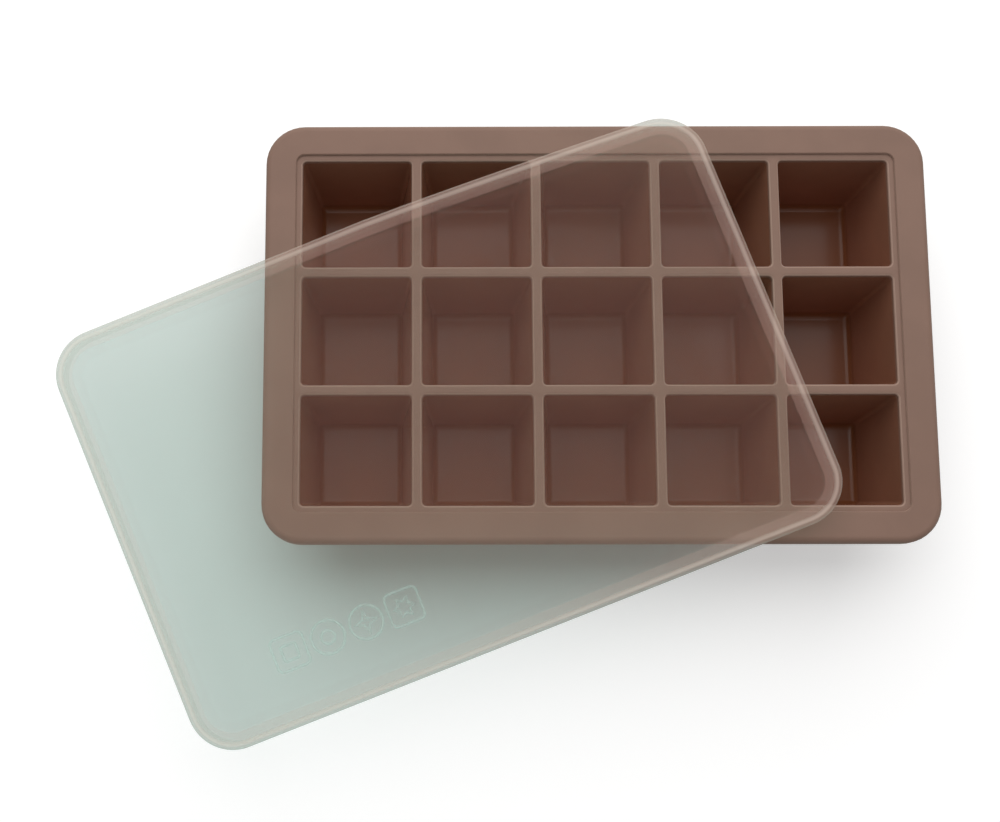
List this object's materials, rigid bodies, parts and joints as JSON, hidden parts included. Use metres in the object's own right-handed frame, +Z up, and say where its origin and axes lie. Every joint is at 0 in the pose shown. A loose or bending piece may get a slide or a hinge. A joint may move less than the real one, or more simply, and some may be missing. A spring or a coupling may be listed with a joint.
{
  "type": "baby food freezer tray",
  "caption": "Soft rectangular freezer tray with a grid of deep square cups inside a flat rounded rim, and a shallow translucent snap-shut lid lying askew on top.",
  "frame": {"origin": "centre of the tray's underside, on the foot of the middle cup", "axes": "+X along the tray's long side, +Y to its back, +Z up out of the cups"},
  "size_m": [0.2746, 0.1976, 0.0558],
  "materials": {
    "silicone": "satin moulded silicone, brown",
    "translucent_lid": "frosted translucent moulded plastic, pale grey-green"
  },
  "bodies": {
    "tray": {"tray": "silicone"},
    "lid": {"lid": "translucent_lid"}
  },
  "joints": [
    {"name": "lid_lift", "type": "slide", "parent": "tray", "child": "lid", "axis": [0, 0, 1], "range_m": [0, 0.1]}
  ]
}
